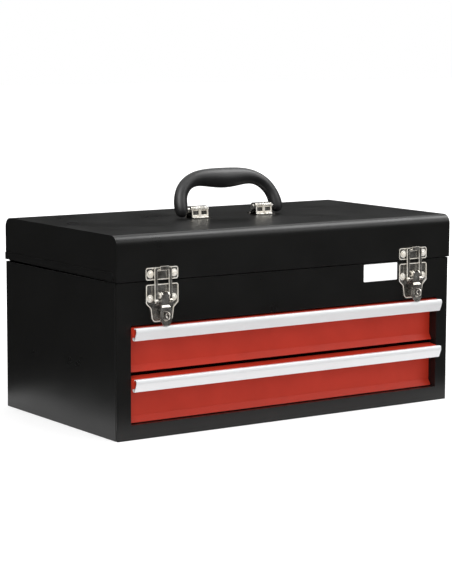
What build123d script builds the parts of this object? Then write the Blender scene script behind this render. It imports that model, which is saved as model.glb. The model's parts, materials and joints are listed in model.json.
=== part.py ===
"""Portable steel tool chest: two drawers on ball slides under a lidded top compartment.

Millimetres, +Z up. The origin is the centre of the flat base; the front faces -Y.
"""
from build123d import *
import math
import os

os.makedirs("parts", exist_ok=True)

# ---- case ----------------------------------------------------------------------------
body_width = 508.0
body_depth = 275.0
body_height = 188.5
case_sheet = 1.0             # steel sheet of the case
lap_gap = 0.1                # between sheets that lap or lie on each other
relief_gap = 0.3             # round a notch that lets one sheet pass another
corner_radius = 3.0          # outer bend of the rear vertical corners
front_bend = 2.0             # outer bend of the front vertical corners
rim_flange = 8.0             # safe edge folded in round the top of the case
seam_setback = 3.2           # from the front face to the joint line on the sides
seam_width = 1.3
side_lap = 14.0              # lap of the front panel inside each side
pan_flange = 12.0
floor_flange = 3.0

# ---- front opening and drawers -------------------------------------------------------
stile_width = 19.0           # front panel beside the opening
opening_bottom = 18.0
upper_panel_height = 51.1    # front panel over the opening
opening_flange = 14.0        # depth of the fold round the opening
drawer_gap = 0.6             # from the opening's lower edge to the lower drawer
drawer_space = 4.0           # between the two drawer fronts
drawer_top_gap = 0.4         # from the upper drawer to the opening
front_end_gap = 0.5          # from the end of a drawer front to the opening
front_setback = 13.0         # drawer panel behind the front face
ledge_drop = 3.0             # the ledge slopes down towards the pull by this much
ledge_reach = 6.4            # the ledge ends this far in front of the front face
front_lip = 8.0              # fold under the pull
flare_height = 8.0
flare_reach = 4.5            # the drawer front's lower edge kicks forward
front_sheet = 1.0
tab_height = 9.0             # red gusset at each end of the ledge
tab_depth = 11.0
pull_wall = 1.2
pull_height = 15.4
pull_reach = 12.5            # most forward point of the pull from the front face
pull_brow = 1.4              # slope between the pull's flat top and its face
pull_brow_drop = 4.0
pull_top_depth = 4.9
pull_bottom_step = 4.6       # the pull's lower edge lies behind its most forward point
pull_hook = 5.0
pull_hook_height = 4.0
tray_sheet = 0.8
tray_rear_gap = 12.0         # from the tray to the case's back face
tray_lift = 5.0              # tray bottom above the drawer front's lower edge
tray_rim_drop = 8.2          # tray rim below the drawer front's upper edge
tray_corner = 2.5

# ---- ball slides ---------------------------------------------------------------------
slide_width = 12.7
slide_height = 35.0
slide_setback = 18.5         # front end of the slides behind the front face
slide_rear_gap = 6.5         # rear end of the slides in front of the back face
slide_sheet = 1.2
slide_bend = 1.5
race_lip = 2.5
channel_width = 10.0
inner_height = 24.2
inner_depth = 9.1
ball_radius = 1.85
balls_per_row = 3
ball_pitch = 24.0
cage_length = 60.0
cage_sheet = 0.6
cage_depth = 6.3
cage_web_gap = 1.0
cage_centre = 8.0            # middle of the cage behind the middle of the case
slide_level = 27.0           # slide centre above the drawer front's lower edge
upright_setback = 20.0
upright_rear_gap = 12.0
upright_foot = 14.0

# ---- lid -----------------------------------------------------------------------------
lid_seam = 1.0
lid_side_overhang = 0.8
lid_front_overhang = 0.7
lid_rear_inset = 2.8
lid_height = 55.2
lid_sheet = 1.0
lid_bend = 12.0
lid_rear_gap = 2.9
lid_end_sheet = 1.0
lid_end_flange = 10.0
lid_end_gap = 0.5            # from that flange to the hinge leaf
ridge_height = 9.0
ridge_step = 0.9
ridge_front_stop = 7.0

# ---- piano hinge ---------------------------------------------------------------------
hinge_pin_radius = 1.0
hinge_clearance = 0.06
hinge_sheet = 0.8
hinge_end_gap = 6.0
hinge_knuckles = 15
knuckle_gap = 0.4
hinge_rim_gap = 0.35
case_leaf_height = 20.0
lid_leaf_height = 16.0

# ---- carrying handle -----------------------------------------------------------------
handle_lean = 22.0           # degrees, leaning back as it stands
handle_half_span = 74.0      # middle of the chest to the middle of a leg, at the pin
handle_rise = 45.0           # pin axis to the top of the bow's centre line
handle_power = 4.2           # squareness of the handle's bow
handle_taper = 0.22          # share by which the bow is narrower at its top
leg_half_width = 8.6
leg_half_depth = 7.5
grip_half_width = 13.2
grip_half_depth = 10.5
swell_reach = 60.0           # the grip swells within this distance of its middle
swell_drop = 3.5             # the swelling hangs below the bow
handle_sections = 19
handle_axis_height = 9.8     # pin axis above the lid
foot_radius = 8.3            # rounded end of each leg, below the pin axis
foot_steps = (0.97, 0.8, 0.45)
bore_depth = 20.0            # pin bore, inwards from the middle of the leg
handle_pin_radius = 4.0
handle_pin_length = 39.0
pin_press = 0.02
bracket_sheet = 1.2
bracket_length = 25.0
bracket_end_gap = 3.0        # from a leg of the handle to the bracket
bracket_clearance = 0.3
bracket_flange = 7.0
bracket_splay = 1.6
bracket_bend = 1.0
bracket_rivet_pitch = 14.0

# ---- latches -------------------------------------------------------------------------
latch_inset = 61.5           # middle of a latch from the side of the case
latch_sheet = 1.2
plate_width = 45.5
plate_corner = 3.0
rivet_pitch = 33.2
rivet_radius = 2.8
rivet_dome = 1.3
rivet_shank = 1.5
rivet_tail = 1.0
hole_clearance = 0.05
keeper_height = 15.0
keeper_edge_gap = 0.4        # keeper above the lid's lower edge
keeper_rivet_drop = 7.6      # rivets below the keeper's upper edge
hook_width = 12.0
hook_drop = 2.4              # hook floor below the keeper's upper edge
hook_gap = 4.9
hook_lip = 4.1
base_top_drop = 3.5          # base plate below the case rim
base_height = 45.5
base_waist_width = 33.0
base_foot_width = 28.0
shoulder_drop = 23.0
shoulder_height = 6.0
base_rim = 1.2
base_rivet_drop = 17.0
pivot_drop = 13.5            # lever pivot below the base plate's upper edge
pivot_reach = 6.0            # lever pivot in front of the case
pivot_pin_radius = 1.5
pivot_clearance = 0.06
ear_radius = 3.4
ear_base_half = 4.0
link_drop = 7.0              # loop pivot below the lever pivot
link_inset = 1.0             # loop pivot nearer the case: the over-centre offset
link_pin_radius = 1.25
link_eye_wall = 0.95
lever_width = 10.0
lever_top_radius = 4.3
lever_web_reach = 3.4
lever_flange_end = 12.5
lever_step = 1.8
lever_step_drop = 2.4
lever_length = 35.5          # lever pivot to the tip
lever_foot_width = 15.4
lever_tip_kick = 1.2
lever_tip_kick_height = 5.0
window_width = 8.0
side_gap = 0.3
staple_sheet = 1.6
staple_height = 10.0
staple_drop = 23.5           # padlock hole below the lever pivot
padlock_radius = 2.75
padlock_face_gap = 0.45
window_clearance = 0.6
loop_inner = 16.0
loop_strap = 4.0
loop_sheet = 1.5
crossbar_height = 2.0
crossbar_gap = 0.3           # crossbar above the hook's floor
crossbar_back_gap = 1.25     # crossbar in front of the keeper plate

# ---- places worked out from the sizes ------------------------------------------------
side_x = body_width / 2
front_y = -body_depth / 2
back_y = body_depth / 2
opening_width = body_width - 2 * stile_width
opening_half = opening_width / 2
opening_top = body_height - upper_panel_height
opening_height = opening_top - opening_bottom
drawer_height = (opening_height - drawer_gap - drawer_space - drawer_top_gap) / 2
drawer_pitch = drawer_height + drawer_space
drawer_levels = {
    "lower": opening_bottom + drawer_gap,
    "upper": opening_bottom + drawer_gap + drawer_pitch,
}
front_half = opening_half - front_end_gap
panel_back_y = front_y + front_setback + front_sheet
tray_half = opening_half - slide_width
tray_length = back_y - tray_rear_gap - panel_back_y
tray_height = drawer_height - tray_lift - tray_rim_drop
slide_length = body_depth - slide_setback - slide_rear_gap
floor_level = opening_top + case_sheet + lap_gap
lid_bottom = body_height + lid_seam
lid_top = lid_bottom + lid_height
lid_front_y = front_y - lid_front_overhang
lid_back_y = back_y - lid_rear_inset
lid_side_x = side_x + lid_side_overhang
lid_rear_bottom = body_height + lid_rear_gap
knuckle_radius = hinge_pin_radius + hinge_clearance + hinge_sheet
hinge_z = body_height + hinge_rim_gap + knuckle_radius
hinge_y = back_y - case_sheet - hinge_sheet + knuckle_radius
handle_z = lid_top + handle_axis_height
latch_x = side_x - latch_inset
keeper_bottom = lid_bottom + keeper_edge_gap
keeper_top = keeper_bottom + keeper_height
base_top = body_height - base_top_drop
base_bottom = base_top - base_height
pivot_y = front_y - pivot_reach
pivot_z = base_top - pivot_drop
link_y = pivot_y + link_inset
link_z = pivot_z - link_drop
hook_floor = keeper_top - hook_drop
crossbar_y = lid_front_y - latch_sheet - crossbar_back_gap - loop_sheet / 2
crossbar_z = hook_floor + crossbar_gap + crossbar_height / 2
lever_face_y = pivot_y - lever_web_reach - lever_step
padlock_y = lever_face_y - padlock_face_gap - padlock_radius
padlock_z = pivot_z - staple_drop


# ---- helpers -------------------------------------------------------------------------
def bent_sheet(points, thickness, radii):
    """Face of a sheet whose outer surface follows the points; the sheet lies to the left."""
    line = FilletPolyline(*points, radius=radii)
    return make_face(offset(line, amount=thickness, side=Side.LEFT))


def along_x(face, half_length):
    """Extrude a face drawn in (y, z) to both sides of x = 0."""
    return extrude(Plane.YZ * face, amount=half_length, both=True)


def along_y(face, start, length):
    """Extrude a face drawn in (x, z) backwards from y = start."""
    return extrude(Plane.XZ.offset(-start) * face, amount=-length)


def along_z(face, bottom, height):
    """Extrude a face drawn in (x, y) upwards."""
    return extrude(Plane.XY.offset(bottom) * face, amount=height)


def block(x_range, y_range, z_range):
    """Box between two corners."""
    size = [b - a for a, b in (x_range, y_range, z_range)]
    middle = [(a + b) / 2 for a, b in (x_range, y_range, z_range)]
    return Pos(*middle) * Box(*size)


def rod_x(radius, x_range, y, z):
    """Round bar along X."""
    length = x_range[1] - x_range[0]
    return Pos(sum(x_range) / 2, y, z) * Rot(0, 90, 0) * Cylinder(radius, length)


def rod_y(radius, x, y_range, z):
    """Round bar along Y."""
    length = y_range[1] - y_range[0]
    return Pos(x, sum(y_range) / 2, z) * Rot(90, 0, 0) * Cylinder(radius, length)


def mirrored(shape):
    """The same piece on the other side of the chest."""
    return mirror(shape, about=Plane.YZ)


def save(name, *solids):
    """Write one node from its solids."""
    shape = solids[0] if len(solids) == 1 else Compound(children=list(solids))
    shape.label = name
    export_step(shape, f"parts/{name}.step")


def rivet(x, face_y, sheets, z):
    """Domed rivet through sheets of the given total thickness, head towards the front."""
    dome_radius = (rivet_radius**2 + rivet_dome**2) / (2 * rivet_dome)
    dome = Sphere(dome_radius) - Pos(0, 0, -rivet_dome) * Box(
        3 * dome_radius, 3 * dome_radius, 2 * dome_radius
    )
    dome = Pos(0, 0, rivet_dome - dome_radius) * dome
    shank = Pos(0, 0, -(sheets + rivet_tail) / 2) * Cylinder(rivet_shank, sheets + rivet_tail)
    return Pos(x, face_y, z) * Rot(90, 0, 0) * (dome + shank)


def rivet_holes(positions, y_range):
    """Clearance holes for rivets at (x, z) positions."""
    return [rod_y(rivet_shank + hole_clearance, x, y_range, z) for x, z in positions]


# ---- case ----------------------------------------------------------------------------
def case_wrap():
    """Sides and back bent from one sheet, with a safe edge folded in along the sides."""
    start_y = front_y + seam_setback + seam_width
    face = bent_sheet(
        [(side_x, start_y), (side_x, back_y), (-side_x, back_y), (-side_x, start_y)],
        case_sheet,
        corner_radius,
    )
    shell = along_z(face, 0, body_height)
    inner_x = side_x - case_sheet
    for sign in (-1, 1):
        x_range = sorted((sign * inner_x, sign * (inner_x - rim_flange)))
        shell += block(
            x_range,
            (front_y + side_lap + 2 * seam_setback, back_y - case_sheet - rim_flange),
            (body_height - case_sheet, body_height),
        )
    return shell


def latch_rivet_places(z):
    """The (x, z) of both latches' rivets at one height."""
    return [
        (side * latch_x + offset_x, z)
        for side in (-1, 1)
        for offset_x in (-rivet_pitch / 2, rivet_pitch / 2)
    ]


def front_panel():
    """Front frame: joggled laps at the sides, folded opening and a safe edge on top."""
    lap_x = side_x - case_sheet - lap_gap / 2
    lap_y = front_y + seam_setback + case_sheet
    end_y = lap_y + side_lap
    points = [
        (-lap_x, end_y),
        (-lap_x, lap_y),
        (-side_x, lap_y - case_sheet),
        (-side_x, front_y),
        (side_x, front_y),
        (side_x, lap_y - case_sheet),
        (lap_x, lap_y),
        (lap_x, end_y),
    ]
    joggle = case_sheet + 0.2
    radii = [joggle, joggle, front_bend, front_bend, joggle, joggle]
    panel = along_z(bent_sheet(points, case_sheet, radii), 0, body_height)
    inside = side_x - 2 * case_sheet - lap_gap
    panel += block(
        (-inside, inside),
        (front_y + case_sheet, front_y + case_sheet + rim_flange),
        (body_height - case_sheet, body_height),
    )
    for sign in (-1, 1):
        x_range = sorted((sign * (inside - case_sheet), sign * side_x))
        panel -= block(
            x_range,
            (front_y + front_bend + relief_gap, end_y + 1),
            (-1, case_sheet + pan_flange + relief_gap),
        )
    middle = (opening_bottom + opening_top) / 2
    fold = Rectangle(opening_width + 2 * case_sheet, opening_height + 2 * case_sheet)
    opening = RectangleRounded(opening_width, opening_height, case_sheet)
    panel += along_y(Pos(0, middle) * fold, front_y + case_sheet / 2, opening_flange)
    panel -= along_y(Pos(0, middle) * opening, front_y - 1, opening_flange + 3)
    places = latch_rivet_places(base_top - base_rivet_drop)
    for hole in rivet_holes(places, (front_y - 1, front_y + 2)):
        panel -= hole
    return panel


def folded_tray(half_width, y_range, bottom, height, sheet, corner):
    """Open box folded from sheet, with bent corners."""
    length = y_range[1] - y_range[0]
    outside = along_z(RectangleRounded(2 * half_width, length, corner), 0, height)
    outside = fillet(outside.faces().sort_by(Axis.Z)[0].edges(), corner * 0.6)
    inside = Pos(0, 0, sheet) * along_z(
        RectangleRounded(2 * (half_width - sheet), length - 2 * sheet, corner - sheet), 0, height
    )
    return Pos(0, sum(y_range) / 2, bottom) * (outside - inside)


def bottom_pan():
    """Flat bottom with flanges turned up inside the walls."""
    return folded_tray(
        side_x - case_sheet,
        (front_y + case_sheet, back_y - case_sheet),
        0,
        case_sheet + pan_flange,
        case_sheet,
        corner_radius - case_sheet,
    )


def compartment_floor():
    """Floor of the top compartment, over the drawers."""
    return folded_tray(
        side_x - 2 * case_sheet - lap_gap,
        (front_y + case_sheet, back_y - case_sheet),
        floor_level,
        case_sheet + floor_flange,
        case_sheet,
        corner_radius - case_sheet,
    )


def slide_upright():
    """Hat-section panel inside the left wall that carries the slides."""
    foot_x = -side_x + 2 * case_sheet
    web_x = -opening_half - case_sheet
    start_y = front_y + upright_setback
    end_y = back_y - upright_rear_gap
    points = [
        (foot_x + case_sheet, start_y),
        (foot_x + case_sheet, start_y + upright_foot),
        (web_x + case_sheet, start_y + upright_foot),
        (web_x + case_sheet, end_y - upright_foot),
        (foot_x + case_sheet, end_y - upright_foot),
        (foot_x + case_sheet, end_y),
    ]
    face = bent_sheet(points, case_sheet, case_sheet + 0.5)
    return along_z(face, case_sheet, floor_level - case_sheet)


# ---- ball slides ---------------------------------------------------------------------
def slide_outer(level):
    """Outer channel of a left slide, with race lips that keep the balls in."""
    z = level + slide_level
    x = -opening_half
    half = slide_height / 2
    points = [
        (x + channel_width, z + half - race_lip),
        (x + channel_width, z + half),
        (x, z + half),
        (x, z - half),
        (x + channel_width, z - half),
        (x + channel_width, z - half + race_lip),
    ]
    face = bent_sheet(points, slide_sheet, slide_bend)
    return along_y(face, front_y + slide_setback, slide_length)


def slide_inner(level):
    """Inner channel of a left slide, fixed to the tray."""
    z = level + slide_level
    x = -tray_half
    half = inner_height / 2
    points = [
        (x - inner_depth, z - half),
        (x, z - half),
        (x, z + half),
        (x - inner_depth, z + half),
    ]
    face = bent_sheet(points, slide_sheet, slide_bend)
    return along_y(face, front_y + slide_setback, slide_length)


def ball_places(level):
    """Centres of the balls of one left slide."""
    z = level + slide_level
    race = (slide_height / 2 - slide_sheet + inner_height / 2) / 2
    x = -opening_half + slide_sheet + cage_web_gap + cage_sheet + cage_depth / 2
    first = cage_centre - ball_pitch * (balls_per_row - 1) / 2
    return [
        (x, first + ball_pitch * index, z + sign * race)
        for sign in (-1, 1)
        for index in range(balls_per_row)
    ]


def ball_cage(level):
    """Strip that spaces the balls of one left slide."""
    z = level + slide_level
    race = (slide_height / 2 - slide_sheet + inner_height / 2) / 2
    x = -opening_half + slide_sheet + cage_web_gap
    half = race + cage_sheet / 2
    points = [
        (x + cage_depth, z + half),
        (x, z + half),
        (x, z - half),
        (x + cage_depth, z - half),
    ]
    face = bent_sheet(points, cage_sheet, cage_sheet + 0.3)
    cage = along_y(face, cage_centre - cage_length / 2, cage_length)
    for x, y, ball_z in ball_places(level):
        cage -= Pos(x, y, ball_z) * Cylinder(ball_radius + 0.15, 3)
    return cage


# ---- drawers -------------------------------------------------------------------------
def ledge_z(level):
    """Upper surface of the ledge at its front edge."""
    return level + drawer_height - ledge_drop


def drawer_front(level):
    """Folded front: kicked lower edge, recessed panel, sloping ledge, lip and end gussets."""
    lip_y = front_y - ledge_reach
    points = [
        (panel_back_y - flare_reach, level),
        (panel_back_y, level + flare_height),
        (panel_back_y, level + drawer_height),
        (lip_y, ledge_z(level)),
        (lip_y, ledge_z(level) - front_lip),
    ]
    front = along_x(bent_sheet(points, front_sheet, [3.0, 2.0, 1.5]), front_half)
    under = ledge_z(level) - front_sheet
    slope = ledge_drop / (panel_back_y - lip_y)
    gusset = make_face(
        Polyline(
            (lip_y + front_sheet / 2, under),
            (lip_y + tab_depth, under + slope * tab_depth),
            (lip_y + front_sheet + 2.0, under - tab_height),
            (lip_y + front_sheet / 2, under - tab_height),
            close=True,
        )
    )
    for sign in (-1, 1):
        plate = extrude(Plane.YZ.offset(sign * front_half) * gusset, amount=-sign * front_sheet)
        front += plate
    return front


def drawer_pull(level):
    """Extruded pull clipped over the drawer front's lip."""
    top = ledge_z(level) + pull_wall + lap_gap / 2
    face_y = front_y - pull_reach
    low_y = face_y + pull_bottom_step
    points = [
        (face_y + pull_brow + pull_top_depth, top),
        (face_y + pull_brow, top),
        (face_y, top - pull_brow_drop),
        (low_y, top - pull_height),
        (low_y + pull_hook, top - pull_height),
        (low_y + pull_hook, top - pull_height + pull_hook_height),
    ]
    return along_x(bent_sheet(points, pull_wall, [2.0, 6.0, 2.2, 1.8]), front_half)


def drawer_tray(level):
    """Folded tray behind the front, with a hemmed rim."""
    return folded_tray(
        tray_half,
        (panel_back_y, panel_back_y + tray_length),
        level + tray_lift,
        tray_height,
        tray_sheet,
        tray_corner,
    )


# ---- piano hinge ---------------------------------------------------------------------
def knuckle_spans(first):
    """Spans along X of every second knuckle."""
    half = side_x - hinge_end_gap
    pitch = 2 * half / hinge_knuckles
    return [
        (-half + pitch * index + knuckle_gap / 2, -half + pitch * (index + 1) - knuckle_gap / 2)
        for index in range(first, hinge_knuckles, 2)
    ]


def knuckle(span):
    """Rolled knuckle round the pin."""
    return rod_x(knuckle_radius, span, hinge_y, hinge_z)


def hinge_leaf_case():
    """Leaf inside the back wall, rolled into the even knuckles."""
    leaf_y = (back_y - case_sheet - hinge_sheet, back_y - case_sheet)
    half = side_x - hinge_end_gap
    top = hinge_z - knuckle_radius - knuckle_gap
    leaf = block((-half, half), leaf_y, (body_height - case_leaf_height, top))
    for span in knuckle_spans(0):
        leaf += block(span, leaf_y, (top - 1, hinge_z)) + knuckle(span)
    bore = hinge_pin_radius + hinge_clearance
    return leaf - rod_x(bore, (-side_x, side_x), hinge_y, hinge_z)


def hinge_leaf_lid():
    """Leaf that runs forward through the rear gap and up inside the lid's back."""
    half = side_x - hinge_end_gap
    low = hinge_z - knuckle_radius
    leaf_y = lid_back_y - lid_sheet
    clear_y = back_y - case_sheet - hinge_sheet - knuckle_gap
    points = [
        (clear_y, low),
        (leaf_y - hinge_sheet, low),
        (leaf_y - hinge_sheet, lid_rear_bottom + lid_leaf_height),
    ]
    line = FilletPolyline(*points, radius=hinge_sheet + 0.4)
    face = make_face(offset(line, amount=hinge_sheet, side=Side.RIGHT))
    leaf = along_x(face, half)
    end_x = lid_side_x - lid_end_sheet / 2 - lid_end_flange - lid_end_gap
    for sign in (-1, 1):
        x_range = sorted((sign * end_x, sign * side_x))
        leaf -= block(x_range, (leaf_y - 3, clear_y), (low + hinge_sheet, lid_top))
    for span in knuckle_spans(1):
        leaf += block(span, (clear_y - 0.5, hinge_y), (low, low + hinge_sheet)) + knuckle(span)
    bore = hinge_pin_radius + hinge_clearance
    return leaf - rod_x(bore, (-side_x, side_x), hinge_y, hinge_z)


def hinge_pin():
    """Wire pin through all the knuckles."""
    half = side_x - hinge_end_gap
    return rod_x(hinge_pin_radius, (-half, half), hinge_y, hinge_z)


# ---- lid -----------------------------------------------------------------------------
def lid_outline(inset):
    """Closed side view of the lid, moved in by the inset."""
    front = lid_front_y + inset
    back = lid_back_y - inset
    top = lid_top - inset
    radius = lid_bend - inset
    outline = Polyline(
        (front, lid_bottom), (front, top), (back, top), (back, lid_rear_bottom), close=True
    )
    face = make_face(outline)
    corners = face.vertices().filter_by(lambda v: v.Y > top - 0.1)
    return fillet(corners, radius)


def lid_shell():
    """Top, front and back of the lid, bent from one sheet."""
    points = [
        (lid_back_y, lid_rear_bottom),
        (lid_back_y, lid_top),
        (lid_front_y, lid_top),
        (lid_front_y, lid_bottom),
    ]
    face = bent_sheet(points, lid_sheet, lid_bend)
    shell = along_x(face, lid_side_x - lid_end_sheet)
    places = latch_rivet_places(keeper_top - keeper_rivet_drop)
    for hole in rivet_holes(places, (lid_front_y - 1, lid_front_y + 2)):
        shell -= hole
    for x, y in bracket_rivet_places():
        shell -= Pos(x, y, lid_top) * Cylinder(rivet_shank + hole_clearance, 4)
    return shell


def ridge_outline():
    """Stepped strip along a lid end's lower edge, rounded off at its front."""
    front = lid_front_y + ridge_front_stop
    high = lid_rear_bottom + ridge_height
    face = make_face(
        Polyline(
            (front, lid_rear_bottom),
            (front, high),
            (lid_back_y, high),
            (lid_back_y, lid_rear_bottom),
            close=True,
        )
    )
    corner = face.vertices().filter_by(lambda v: v.X < front + 0.1 and v.Y > high - 0.1)
    return fillet(corner, ridge_height * 0.6)


def lid_end():
    """Left end of the lid: flat plate, flange inside the shell and a stepped lower strip."""
    outer_x = -lid_side_x
    plate = extrude(Plane.YZ.offset(outer_x) * lid_outline(0), amount=lid_end_sheet)
    ring = lid_outline(lid_sheet + 0.02) - lid_outline(lid_sheet + lid_end_sheet)
    plate += extrude(Plane.YZ.offset(outer_x + lid_end_sheet / 2) * ring, amount=lid_end_flange)
    return plate + extrude(Plane.YZ.offset(outer_x) * ridge_outline(), amount=-ridge_step)


# ---- carrying handle -----------------------------------------------------------------
def bow_point(angle):
    """Point (x, height above the pin axis) on the handle's centre line."""
    power = 2 / handle_power
    across = math.copysign(abs(math.cos(angle)) ** power, math.cos(angle))
    up = math.copysign(abs(math.sin(angle)) ** power, math.sin(angle))
    return handle_half_span * across * (1 - handle_taper * up**2), handle_rise * up


def bow_section(angle):
    """Oval section of the grip, square to the centre line."""
    x, z = bow_point(angle)
    x_ahead, z_ahead = bow_point(angle + 0.01)
    x_behind, z_behind = bow_point(angle - 0.01)
    tangent = Vector(x_ahead - x_behind, 0, z_ahead - z_behind)
    swell = max(0, 1 - (x / swell_reach) ** 2) ** 2
    half_width = leg_half_width + (grip_half_width - leg_half_width) * swell
    half_depth = leg_half_depth + (grip_half_depth - leg_half_depth) * swell
    plane = Plane(origin=(x, 0, z - swell_drop * swell), x_dir=(0, 1, 0), z_dir=tangent)
    return plane * Ellipse(half_depth, half_width)


def lean(shape):
    """Turn an upright handle piece to its resting lean and set it on the pin axis."""
    return Pos(0, 0, handle_z) * Rot(-handle_lean, 0, 0) * shape


def foot_section(side, share):
    """Oval section of a leg's rounded end, at a share of the foot's radius below the pin."""
    shrink = math.sqrt(1 - share**2)
    centre = (side * handle_half_span, 0, -foot_radius * share)
    plane = Plane(origin=centre, x_dir=(0, 1, 0), z_dir=(0, 0, side))
    return plane * Ellipse(leg_half_depth * shrink, leg_half_width * shrink)


def handle_grip():
    """Moulded grip: one oval bow from foot to foot, bored for the pins."""
    right_foot = [foot_section(1, share) for share in foot_steps]
    left_foot = [foot_section(-1, share) for share in reversed(foot_steps)]
    step = math.pi / (handle_sections - 1)
    bow = [bow_section(step * index) for index in range(handle_sections)]
    grip = loft(right_foot + bow + left_foot)
    for side in (-1, 1):
        ends = sorted((side * (handle_half_span - bore_depth), side * handle_half_span))
        grip -= rod_x(handle_pin_radius + pin_press, ends, 0, 0)
    return lean(grip)


def handle_pin():
    """Steel pin of the left foot, reaching inwards through the bracket."""
    return rod_x(
        handle_pin_radius,
        (-handle_half_span, -handle_half_span + handle_pin_length),
        0,
        handle_z,
    )


def bracket_span():
    """Ends of the left bracket along X."""
    start = -handle_half_span + leg_half_width + bracket_end_gap
    return start, start + bracket_length


def bracket_rivet_places():
    """The (x, y) of the rivets of both brackets."""
    start, end = bracket_span()
    foot = handle_pin_radius + bracket_clearance + bracket_sheet + bracket_splay
    reach = foot + bracket_flange / 2
    return [
        (side * ((start + end) / 2 + along), depth)
        for side in (1, -1)
        for along in (-bracket_rivet_pitch / 2, bracket_rivet_pitch / 2)
        for depth in (-reach, reach)
    ]


def handle_bracket():
    """Left bracket: a pressed hood over the pin with a riveted flange front and back."""
    start, end = bracket_span()
    half = handle_pin_radius + bracket_clearance + bracket_sheet
    foot = half + bracket_splay
    top = handle_z + half
    points = [
        (foot + bracket_flange, lid_top + bracket_sheet),
        (foot, lid_top + bracket_sheet),
        (half, top),
        (-half, top),
        (-foot, lid_top + bracket_sheet),
        (-foot - bracket_flange, lid_top + bracket_sheet),
    ]
    crown = half - bracket_sheet
    face = bent_sheet(points, bracket_sheet, [bracket_bend, crown, crown, bracket_bend])
    hood = extrude(Plane.YZ.offset(start) * face, amount=end - start)
    for x, y in bracket_rivet_places():
        hood -= Pos(x, y, lid_top) * Cylinder(rivet_shank + hole_clearance, 8)
    return hood


def bracket_rivets():
    """Rivets that hold the brackets to the lid."""
    heads = []
    for x, y in bracket_rivet_places():
        upright = Rot(-90, 0, 0) * rivet(0, 0, bracket_sheet + lid_sheet, 0)
        heads.append(Pos(x, y, lid_top + bracket_sheet) * upright)
    return heads


# ---- latches, drawn at x = 0 and set at each side ------------------------------------
def latch_keeper():
    """Keeper plate on the lid, with its hook opening upwards."""
    face_y = lid_front_y
    outline = RectangleRounded(plate_width, keeper_height, plate_corner)
    plate = Pos(0, (keeper_bottom + keeper_top) / 2) * outline
    keeper = along_y(plate, face_y - latch_sheet, latch_sheet)
    inner_y = face_y - latch_sheet - hook_gap
    points = [
        (inner_y, hook_floor + hook_lip),
        (inner_y, hook_floor),
        (face_y - latch_sheet / 2, hook_floor),
    ]
    line = FilletPolyline(*points, radius=0.8)
    hook = make_face(offset(line, amount=latch_sheet, side=Side.RIGHT))
    keeper += along_x(hook, hook_width / 2)
    places = [(sign * rivet_pitch / 2, keeper_top - keeper_rivet_drop) for sign in (-1, 1)]
    for hole in rivet_holes(places, (face_y - 3, face_y + 1)):
        keeper -= hole
    return keeper


def base_outline():
    """Shield outline of the base plate."""
    half = plate_width / 2
    waist = base_waist_width / 2
    foot = base_foot_width / 2
    face = make_face(
        Polyline(
            (-half, base_top),
            (-half, base_top - shoulder_drop),
            (-waist, base_top - shoulder_drop - shoulder_height),
            (-foot, base_bottom),
            (foot, base_bottom),
            (waist, base_top - shoulder_drop - shoulder_height),
            (half, base_top - shoulder_drop),
            (half, base_top),
            close=True,
        )
    )
    low = face.vertices().filter_by(lambda v: v.Y < base_bottom + 0.1)
    face = fillet(low, 2 * plate_corner)
    waist_z = base_top - shoulder_drop - shoulder_height
    rest = face.vertices().filter_by(lambda v: v.Y > waist_z - 0.1)
    return fillet(rest, plate_corner)


def latch_base():
    """Base plate with a raised rim and two ears for the lever's pin."""
    outline = base_outline()
    plate = along_y(outline, front_y - latch_sheet, latch_sheet)
    rim = outline - offset(outline, amount=-base_rim)
    plate += along_y(rim, front_y - latch_sheet - base_rim, base_rim + latch_sheet / 2)
    ear_face = make_face(
        Polyline(
            (front_y - latch_sheet / 2, pivot_z - ear_base_half),
            (pivot_y, pivot_z - ear_radius),
            (pivot_y, pivot_z + ear_radius),
            (front_y - latch_sheet / 2, pivot_z + ear_base_half),
            close=True,
        )
    )
    ear_face = ear_face + Pos(pivot_y, pivot_z) * Circle(ear_radius)
    inner_x = lever_width / 2 + side_gap
    for sign in (-1, 1):
        plate += extrude(Plane.YZ.offset(sign * inner_x) * ear_face, amount=sign * latch_sheet)
    plate -= rod_x(pivot_pin_radius + pivot_clearance, (-20, 20), pivot_y, pivot_z)
    places = [(sign * rivet_pitch / 2, base_top - base_rivet_drop) for sign in (-1, 1)]
    for hole in rivet_holes(places, (front_y - 3, front_y + 1)):
        plate -= hole
    slot = block(
        (-staple_sheet / 2, staple_sheet / 2),
        (front_y - 2 * latch_sheet, front_y + 1),
        (padlock_z - staple_height / 2, padlock_z + staple_height / 2),
    )
    return plate - slot


def latch_staple():
    """Padlock staple: a rounded tab let into the base plate."""
    half = staple_height / 2
    tab = Rectangle(front_y - padlock_y, staple_height)
    tab = Pos((front_y + padlock_y) / 2, padlock_z) * tab
    tab = tab + Pos(padlock_y, padlock_z) * Circle(half)
    tab = tab - Pos(padlock_y, padlock_z) * Circle(padlock_radius)
    return along_x(tab, staple_sheet / 2)


def lever_pin():
    """Headed pin through the ears and the lever."""
    reach = lever_width / 2 + side_gap + latch_sheet + 0.05
    pin = rod_x(pivot_pin_radius, (-reach - 0.2, reach + 0.2), pivot_y, pivot_z)
    for sign in (-1, 1):
        head = sorted((sign * reach, sign * (reach + 0.8)))
        pin += rod_x(pivot_pin_radius + 0.9, head, pivot_y, pivot_z)
    return pin


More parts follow.
